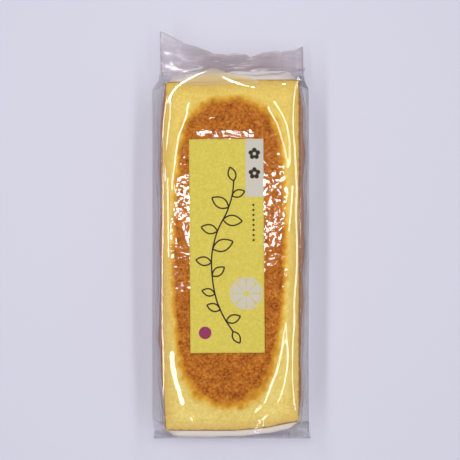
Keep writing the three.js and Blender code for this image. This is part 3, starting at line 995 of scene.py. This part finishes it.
on_crown = smooth(1.05, 0.97, crown_reach(tube_x, on_loaf_y + 0 * tube_x))
on_top = np.repeat((1, 0, 0, 0), RING_PARTS)
on_wall = np.repeat((0, 1, 0, 1), RING_PARTS)
on_base = np.repeat((0, 0, 1, 0), RING_PARTS)
seam = 0.45 * hump(tube_x, 11.2, 2.3, 6)  # the end of the bag's back seam
gathered = 0.35 + 0.65 * smooth(-32, -10, tube_x) * (1 - 0.85 * smooth(18, 34, tube_x)) + seam
out = ring_y + pulled - LOAF_END
tent_roof = np.interp(tube_x, *TENTS) * (tube_x < 20)
under_tent_roof = smooth(0.4, -1.4, out - tent_roof) * smooth(-2.5, 0, out) * (tent_roof > 0)
hazy_and_lit = np.where(tube_x > 0, WALL_HAZE_AND_LIGHT[1], WALL_HAZE_AND_LIGHT[0]) * smooth(32, 12, tube_z)
not_flap = 1 - to_flap
film_values = {
    "cling": on_crown * on_top * open_part,
    "from_edge": (1 - along_flap) * flap_reach(bend) + 99 * (to_flap < 1),
    "bunched_and_shade": (
        # On the left side the film is tinted grey as painted shade beside the loaf.
        gathered * smooth(0.8, 1, to_flap) * (1 - 0.85 * on_wall) + 0.2 * on_wall * (tube_x < 0) * not_flap
    ),
    "loaf_tinted": on_top * under_tent_roof * (1 - 0.07 * np.maximum(out, 0)),
    "lying": (on_wall * np.where(tube_z > 12, 0.9, 0.3) + on_base) * not_flap + 0.9 * on_wall * to_flap,
    "milky_and_lit": (
        (on_wall * hazy_and_lit + TABLE_PAINTED_LIGHT * on_base * smooth(30, 36, tube_x)) * not_flap
        + FLAP_HAZE * smooth(0.5, 1, to_flap)
    ),
    "loose": smooth(0.5, 1, to_flap) + 0 * tube_x,
}
film_values = {name: numbers.reshape(-1) for name, numbers in film_values.items()}
print("each point keeps", ", ".join(film_values))

# %% [markdown]
# `end_ladder` shuts the tube's two ends: at the foot the sheets lie flat on each other, and at the flap
# there is a pleat between them on each side.

# %% Shut the tube's ends


def ladder(one, other, x):
    """Triangles between two rows of points that both run from left to right."""
    faces, i, j = [], 0, 0
    while i + 1 < len(one) or j + 1 < len(other):
        if j + 1 == len(other) or (i + 1 < len(one) and x[one[i + 1]] < x[other[j + 1]]):
            faces.append([one[i], one[i + 1], other[j]])
            i += 1
        else:
            faces.append([one[i], other[j + 1], other[j]])
            j += 1
    return faces


def end_ladder(x, first, at_flap):
    """Triangles that shut an end of the tube, whose ring has the given x and starts at point first."""
    parts = np.split(np.arange(len(x)), np.cumsum(RING_PARTS[:-1]))
    top, right, base, left = (list(part) for part in parts)
    base, left = base[::-1], left[::-1]
    if not at_flap:
        faces = ladder(top, left[::-1] + base + right[::-1], x)
        return [[first + i for i in face[::-1]] for face in faces]
    half = WALL_POINTS // 2
    over_left, under_left = left[:half], left[half:]
    over_right, under_right = right[:half], right[half:]
    inner_left, inner_right = x[over_left[-1]], x[over_right[-1]]
    outer = [i for i in base if x[i] < inner_left]
    middle = [i for i in base if inner_left <= x[i] <= inner_right]
    last = [i for i in base if x[i] > inner_right]
    faces = ladder(top, over_left + middle + over_right[::-1], x)
    faces += ladder(under_left, outer + middle[:1], x)
    faces += ladder([middle[-1]] + under_right, last, x)
    return [[first + i for i in face] for face in faces]


film_points = rings.reshape(-1, 3)
film_faces = [face[::-1] for face in quads(*rings.shape[:2], ring=True)]
film_faces += end_ladder(tube_x[0], 0, False)
film_faces += end_ladder(tube_x[-1], len(film_points) - sum(RING_PARTS), True)
print("film:", len(film_points), "points,", len(film_faces), "faces")

# %% [markdown]
# ## The film's finish
# Bags like this are polypropylene film, 0.04 mm thick and quite clear. A sheet that thin doesn't bend
# light, so it needs no refraction: it lets most light straight through and mirrors the rest, 4 % at
# each of its two faces and much more at a glancing angle. Where film clings to the crust it wets the
# crests and stands free between them, so only patches mirror. Where it lies on the table or hugs the
# loaf's side it mirrors less. Its tint is nearly nothing, and greyer where the flap is bunched. On the
# left side a grey tint is painted in as shade. Low on the right side, and on the table there, a white
# haze is partly painted light. Beyond the loaf's end the film takes on the loaf's pale yellow.

# %% Film material
TWO_FACES = 0.08
STRETCH_SIZE = 2.5  # mm, of the bumps that film clinging to the crust takes on
FREE_PATCH = 1.8  # mm, the size of a patch of film between the crests
STREAK_SIZE = 2.0  # mm, across a streak of haze
CLEAR_TINT, BUNCHED_AND_SHADE_TINT = "#FEFDFE", "#EAE4E3"
HAZE, LOAF_VEIL_YELLOW = "#FCFBFF", "#E2BF60"

film, tree = new_material("polypropylene_film")
place = add(tree, "ShaderNodeTexCoord").outputs["Object"]
cling, bunched_and_shade, lying, milky_and_lit, loose, loaf_tinted = (
    add(tree, "ShaderNodeAttribute", attribute_name=name).outputs["Fac"]
    for name in ("cling", "bunched_and_shade", "lying", "milky_and_lit", "loose", "loaf_tinted")
)
# What it lets through: greyer where the flap is bunched, and on the left side a grey tint painted in as
# shade.
clear = add(tree, "ShaderNodeBsdfTransparent", {"Color": blend(tree, bunched_and_shade, CLEAR_TINT, BUNCHED_AND_SHADE_TINT)})
# The haze is drawn out in streaks: along the bag at its sides, and across it on the flap.
grain = add(
    tree, "ShaderNodeMix", {"Factor": loose, 4: (1.0, 0.03, 1.0), 5: (0.08, 1.0, 0.3)},
    data_type="VECTOR",
)
drawn = add(tree, "ShaderNodeVectorMath", {0: place, 1: grain.outputs[1]}, operation="MULTIPLY")
streaky = ramp(tree, noise(tree, drawn, STREAK_SIZE, Detail=2.0), 0.35, 0.65, 0.5, 1.5)
# Low on the right side and on the table there, the haze is partly painted light that lifts the loaf's
# shadow.
haze = maths(tree, "MULTIPLY", milky_and_lit, streaky)
# Beyond the loaf's end, under the tents, the film carries a veil of the loaf's pale yellow over the shaded
# paper.
veil = maths(tree, "MAXIMUM", haze, maths(tree, "MULTIPLY", loaf_tinted, 0.7))
scatter = add(tree, "ShaderNodeBsdfDiffuse", {"Color": blend(tree, loaf_tinted, HAZE, LOAF_VEIL_YELLOW)})
sheet = add(tree, "ShaderNodeMixShader", {0: veil, 1: clear, 2: scatter})
# What it mirrors: only in free patches over the crust, and less on the table and on the flap.
free = ramp(tree, noise(tree, place, FREE_PATCH, Detail=3.0, Roughness=0.6, Distortion=0.7), 0.53, 0.54)
on_crust = add(tree, "ShaderNodeMix", {"Factor": cling, 2: 1.0, 3: free})
on_table = maths(tree, "MULTIPLY_ADD", lying, -0.7, 1.0)
on_flap = maths(tree, "MULTIPLY_ADD", loose, -0.5, on_table)
open_share = maths(tree, "MULTIPLY", on_crust, on_flap)
facing = add(tree, "ShaderNodeLayerWeight", {"Blend": 0.5}).outputs["Facing"]
glancing = maths(tree, "POWER", facing, 5.0)
mirror = maths(tree, "MULTIPLY_ADD", glancing, 1 - TWO_FACES, TWO_FACES)
mirrored = maths(tree, "MULTIPLY", mirror, open_share)
stretch = noise(tree, place, STRETCH_SIZE, Detail=1.0)
taut = add(tree, "ShaderNodeBump", {"Height": stretch, "Strength": cling, "Distance": 0.08 * MM})
rubbed = maths(tree, "MULTIPLY_ADD", loose, 0.13, 0.05)
gloss = add(tree, "ShaderNodeBsdfGlossy", {"Roughness": rubbed, "Normal": taut})
end_material(tree, add(tree, "ShaderNodeMixShader", {0: mirrored, 1: sheet, 2: gloss}))
print("film material:", len(tree.nodes), "nodes")

# %% [markdown]
# A hot ribbed jaw seals the flap. Its ribs run along the sealed edge and can be felt with a finger.
# A tree presses them in, because it can read how far each point is from the edge.

# %% Press the heat seal
SEAL_SIZES = {"Seal width": 7.0, "Rib spacing": 1.15, "Rib depth": 0.10}
seal, inputs = geometry_tree("heat_seal", SEAL_SIZES)
size = inputs.outputs
from_edge = kept_number(seal, "from_edge")
turns = maths(seal, "DIVIDE", from_edge, size["Rib spacing"])
wave = maths(seal, "SINE", maths(seal, "MULTIPLY", turns, 2 * math.pi))
inside = maths(seal, "LESS_THAN", from_edge, size["Seal width"])
depth = maths(seal, "MULTIPLY", size["Rib depth"], MM)
lift = maths(seal, "MULTIPLY", maths(seal, "MULTIPLY", wave, depth), inside)
upward = add(seal, "ShaderNodeCombineXYZ", {"Z": lift})
ribbed = add(seal, "GeometryNodeSetPosition", {"Geometry": size["Geometry"], "Offset": upward})
end_tree(seal, ribbed, film)

bag = mesh_object("clear_film_bag", film_points, film_faces, film)
keep_values(bag, **film_values)
run_tree(bag, seal, SEAL_SIZES)

# %% [markdown]
# ## The label
# The label is uncoated yellow paper, 40 mm by 115 mm, stuck on the film after the bag was sealed. It
# bends over the crown with the film. `on_label` turns a place on the flat label, across and along it,
# into a point of the bent one, so that the paper and its print bend together.

# %% Make the label
LABEL_WIDTH, LABEL_LENGTH = 40.0, 115.0
LABEL_TURN = math.radians(0.4)
LABEL_MIDDLE = (label_low + label_high) / 2
LABEL_LIFT = 0.35  # of its face above the film
LABEL_THICKNESS = 0.16


def on_label(u, v, lift=0.0):
    """A point of the label, across and along it from its middle, bent over the crown."""
    u, v = np.asarray(u, dtype=float), np.asarray(v, dtype=float)
    x = LABEL_MIDDLE[0] + u * math.cos(LABEL_TURN) - v * math.sin(LABEL_TURN)
    y = LABEL_MIDDLE[1] + u * math.sin(LABEL_TURN) + v * math.cos(LABEL_TURN)
    return np.stack([x, y, film_height(x, y) + LABEL_LIFT + lift], axis=-1)


yellow_paper = paper_finish("uncoated_label_paper", "#D9C756", "#CAB647", 1.1, 5.0, 0.2, 0.4, 0.85)
v, u = np.meshgrid(
    np.linspace(-0.5, 0.5, 116) * LABEL_LENGTH, np.linspace(-0.5, 0.5, 41) * LABEL_WIDTH, indexing="ij",
)
label = mesh_object("paper_label", on_label(u, v).reshape(-1, 3), quads(*u.shape), yellow_paper)
thicken(label, LABEL_THICKNESS, -1)

# %% [markdown]
# ## The print
# The print is plain: a pale grey field, a citrus slice in the same grey, a magenta dot, two small
# blossoms over a row of dots, and a sprig brushed in dark ink. Ink soaks into such paper and stays
# matt. Each colour is one thin sheet just above the paper, cut to its outline and bent with the label.

# %% Flat inks
INK_LIFT = 0.04


def ink(name, colour):
    """Matt printing ink: roughness 0.8, and an IOR of 1.5 as for dried varnish."""
    material, tree = new_material(name)
    opaque(tree, Base_Color=linear(colour), Roughness=0.8, IOR=1.5)
    return material


def field(low, high, step=1.0):
    """A rectangle of ink on the flat label, between two corners."""
    us, vs = (np.linspace(a, b, max(2, round((b - a) / step))) for a, b in zip(low, high))
    v, u = np.meshgrid(vs, us, indexing="ij")
    return np.stack([u, v], axis=-1).reshape(-1, 2), quads(*u.shape)


def disc(middle, radius, start=0.0, end=2 * math.pi, inner=0.01, steps=40):
    """A disc, a ring or a sector of one, on the flat label."""
    angles, radii = np.linspace(start, end, steps), np.linspace(inner, radius, 6)
    angle, r = np.meshgrid(angles, radii, indexing="ij")
    u, v = middle[0] + r * np.cos(angle), middle[1] + r * np.sin(angle)
    return np.stack([u, v], axis=-1).reshape(-1, 2), quads(*u.shape)[:, ::-1]


def print_inks(name, nets, material, lift=INK_LIFT):
    """One piece of ink from its nets on the flat label."""
    points, faces, first = [], [], 0
    for net_points, net_faces in nets:
        points.append(net_points)
        faces += [[first + i for i in face] for face in net_faces]
        first += len(net_points)
    u, v = np.vstack(points).T
    return mesh_object(name, on_label(u, v, lift), faces, material)


SLICE, SLICE_RADIUS = (10.2, -25.5), 8.8
SEGMENTS, GAP = 8, 0.06  # of the slice, and between them, in radians
one = 2 * math.pi / SEGMENTS
segments = [
    disc(SLICE, SLICE_RADIUS - 1.2, one * k + GAP, one * (k + 1) - GAP, 1.4, 10) for k in range(SEGMENTS)
]
rind = disc(SLICE, SLICE_RADIUS, inner=SLICE_RADIUS - 0.9, steps=60)
grey_field = field((10.3, 26.3), (20, 57.5))
grey_print = print_inks("grey_print", [grey_field, rind, *segments], ink("pale_grey_ink", "#C6BEB0"))

magenta_dot = disc((-12.0, -46.6), 3.4)
magenta_print = print_inks("magenta_dot", [magenta_dot], ink("magenta_ink", "#8E2A55"))

BLOSSOMS = [(15.1, 49.5), (15.1, 39.0)]
PETALS, PETAL_OUT, PETAL_RADIUS = 5, 2.0, 1.25
dark_ink = ink("dark_brown_ink", "#2A1C10")
petal_turns = [2 * math.pi * k / PETALS for k in range(PETALS)]
petals = [
    disc((u + PETAL_OUT * math.sin(t), v + PETAL_OUT * math.cos(t)), PETAL_RADIUS, steps=20)
    for u, v in BLOSSOMS for t in petal_turns
]
dots = [disc((14.4, 22.0 - 2.7 * k), 0.62, steps=16) for k in range(8)]
dark_print = print_inks("dark_print", [*petals, *dots], dark_ink, 2 * INK_LIFT)
print("print:", [piece.name for piece in (grey_print, magenta_print, dark_print)])

# %% [markdown]
# The sprig is a brushed line with leaves, and a tree draws it. Its stem is a mesh of edges with a few
# points marked as leaf roots. The tree turns the edges into a curve, sets one leaf outline at each
# root, turned and scaled by the point's own numbers, and sweeps a flat brush along all of it.

# %% Brush the sprig
SPRIG_SIZES = {"Leaf length": 9.0, "Leaf width": 4.8, "Brush width": 0.8}
STEM = [(3, -46), (-2, -38), (-6, -28), (-8, -16), (-8, -4), (-5, 8), (0, 18), (3, 27), (4, 35)]
# Each leaf: how far along the stem it sits (0 to 1), its direction in degrees, and its size.
LEAVES = [
    (0.0, 300, 0.8), (0.09, 20, 0.9), (0.17, 160, 0.85), (0.27, 165, 0.8), (0.37, 35, 0.9),
    (0.45, 170, 0.95), (0.53, 20, 1.3), (0.62, 165, 1.0), (0.70, 355, 1.15), (0.79, 150, 1.15),
    (0.88, 20, 0.8), (1.0, 105, 0.85),
]
stem_line = through(STEM, 10)
roots = {round(share * (len(stem_line) - 1)): (math.radians(turn), size) for share, turn, size in LEAVES}
sprig, inputs = geometry_tree("brushed_sprig", SPRIG_SIZES)
size = inputs.outputs
leaf_size = kept_number(sprig, "leaf_size")
length = maths(sprig, "MULTIPLY", size["Leaf length"], MM)
width = maths(sprig, "MULTIPLY", size["Leaf width"], MM)
tip = add(sprig, "ShaderNodeCombineXYZ", {"X": length})
leaf = add(sprig, "GeometryNodeJoinGeometry")
for side in (1.0, -1.0):
    belly = add(
        sprig, "ShaderNodeCombineXYZ",
        {"X": maths(sprig, "MULTIPLY", length, 0.45), "Y": maths(sprig, "MULTIPLY", width, side)},
    )
    rim = add(
        sprig, "GeometryNodeCurveQuadraticBezier",
        {"Resolution": 14, "Start": (0, 0, 0), "Middle": belly, "End": tip},
    )
    sprig.links.new(rim.outputs[0], leaf.inputs[0])
leaf_turn = add(sprig, "ShaderNodeCombineXYZ", {"Z": kept_number(sprig, "leaf_turn")})
leaves = add(
    sprig, "GeometryNodeInstanceOnPoints",
    {"Points": size["Geometry"], "Selection": maths(sprig, "GREATER_THAN", leaf_size, 0.0),
     "Instance": leaf, "Rotation": leaf_turn, "Scale": leaf_size},
)
lines = add(sprig, "GeometryNodeJoinGeometry")
for part in (
    add(sprig, "GeometryNodeMeshToCurve", {0: size["Geometry"]}),
    add(sprig, "GeometryNodeRealizeInstances", {0: leaves}),
):
    sprig.links.new(part.outputs[0], lines.inputs[0])
upright = add(sprig, "GeometryNodeSetCurveNormal", {"Curve": lines}, mode="Z_UP")
brush_ends = {
    end: add(sprig, "ShaderNodeCombineXYZ", {"X": maths(sprig, "MULTIPLY", size["Brush width"], half)})
    for end, half in (("Start", -MM / 2), ("End", MM / 2))
}
brush = add(sprig, "GeometryNodeCurvePrimitiveLine", brush_ends)
strokes = add(sprig, "GeometryNodeCurveToMesh", {"Curve": upright, "Profile Curve": brush})
end_tree(sprig, strokes, dark_ink)

sprig_mesh = bpy.data.meshes.new("sprig_print")
flat_stem = np.hstack([stem_line, np.zeros((len(stem_line), 1))]) * MM
sprig_mesh.from_pydata(flat_stem.tolist(), [(i, i + 1) for i in range(len(stem_line) - 1)], [])
sprig_print = bpy.data.objects.new("sprig_print", sprig_mesh)
bpy.context.scene.collection.objects.link(sprig_print)
turn_and_size = [roots.get(i, (0, 0)) for i in range(len(stem_line))]
keep_values(sprig_print, leaf_turn=[t for t, _ in turn_and_size], leaf_size=[s for _, s in turn_and_size])
run_tree(sprig_print, sprig, SPRIG_SIZES)
flat = np.array([vertex.co for vertex in sprig_print.data.vertices]) / MM
bent = on_label(flat[:, 0], flat[:, 1], 2 * INK_LIFT) * MM
sprig_print.data.vertices.foreach_set("co", bent.ravel())
sprig_print.data.update()
print("the sprig spans", np.ptp(flat, axis=0).round(1), "mm on the label")

# %% [markdown]
# ## The stage
# The pack lies on a pale matt board. Most of the light comes from the room: bright low down, and dark
# overhead where the film would mirror it as a grey veil. Two long strips stand high on either side, and
# each gives one clean line along every fold and shoulder of the film. A small softbox overhead puts
# the broken sparkle round the label.

# %% Floor
FLOOR_HALF = 2000
floor_material, tree = new_material("matt_board")
opaque(tree, Base_Color=linear("#DCDAE8"), Roughness=0.9, Specular_IOR_Level=0.1)
corners = [(a * FLOOR_HALF, b * FLOOR_HALF, 0) for a, b in ((-1, -1), (1, -1), (1, 1), (-1, 1))]
floor = mesh_object("floor", corners, [[0, 1, 2, 3]], floor_material)
print("floor:", 2 * FLOOR_HALF, "mm square")

# %% Room light
HORIZON_BRIGHTNESS = 1.0
ROOM_BRIGHTNESS = 0.25
CEILING_BRIGHTNESS = 0.05
world = bpy.data.worlds.new("studio")
world.use_nodes = True
bpy.context.scene.world = world
room = world.node_tree
direction = add(room, "ShaderNodeTexCoord").outputs["Generated"]
up = add(room, "ShaderNodeSeparateXYZ", {0: direction}).outputs["Z"]
upper_room = ramp(
    room, up, 0.70, 0.92, ROOM_BRIGHTNESS, CEILING_BRIGHTNESS, interpolation_type="SMOOTHSTEP",
)
glow = HORIZON_BRIGHTNESS - ROOM_BRIGHTNESS
horizon = ramp(room, up, 0.05, 0.5, glow, 0, interpolation_type="SMOOTHSTEP")
brightness = maths(room, "ADD", upper_room, horizon)
backdrop = room.nodes["Background"]
backdrop.inputs["Color"].default_value = linear("#EDF3FA")
room.links.new(brightness.outputs[0], backdrop.inputs["Strength"])
print("room light:", HORIZON_BRIGHTNESS, "low down and", CEILING_BRIGHTNESS, "overhead")

# %% Lamps


def area_lamp(name, place, size, watts):
    """A rectangular lamp, turned about its long side to face the middle of the pack's length."""
    data = bpy.data.lights.new(name, "AREA")
    data.shape = "RECTANGLE"
    data.size, data.size_y = size[0] * MM, size[1] * MM
    data.energy = watts
    lamp = bpy.data.objects.new(name, data)
    lamp.location = [side * MM for side in place]
    lamp.rotation_euler = (0, math.atan2(place[0], place[2]), 0)
    bpy.context.scene.collection.objects.link(lamp)


area_lamp("softbox", (-6, 46, 760), (165, 118), 1.9)
area_lamp("left_strip", (-SIDE_LAMP_OUT, 40, SIDE_LAMP_HEIGHT), (45, 1100), 1.9)
area_lamp("right_strip", (SIDE_LAMP_OUT, 40, SIDE_LAMP_HEIGHT), (45, 1100), 1.6)
bpy.context.scene.view_settings.view_transform = "Standard"
# A line of sight passes many layers of film, and each one uses up a transparent bounce.
bpy.context.scene.cycles.transparent_max_bounces = 24

# %% [markdown]
# ## What stands for what
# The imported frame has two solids. The bag's solid stands for everything inside the film and for the
# film itself, and the label's solid for the paper and its print.

# %% Replace the solids and finish
for piece in (loaf, liner, bag):
    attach(piece, "root")
    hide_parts("film_bag")
for piece in (label, grey_print, magenta_print, dark_print, sprig_print):
    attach(piece, "root")
    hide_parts("label")
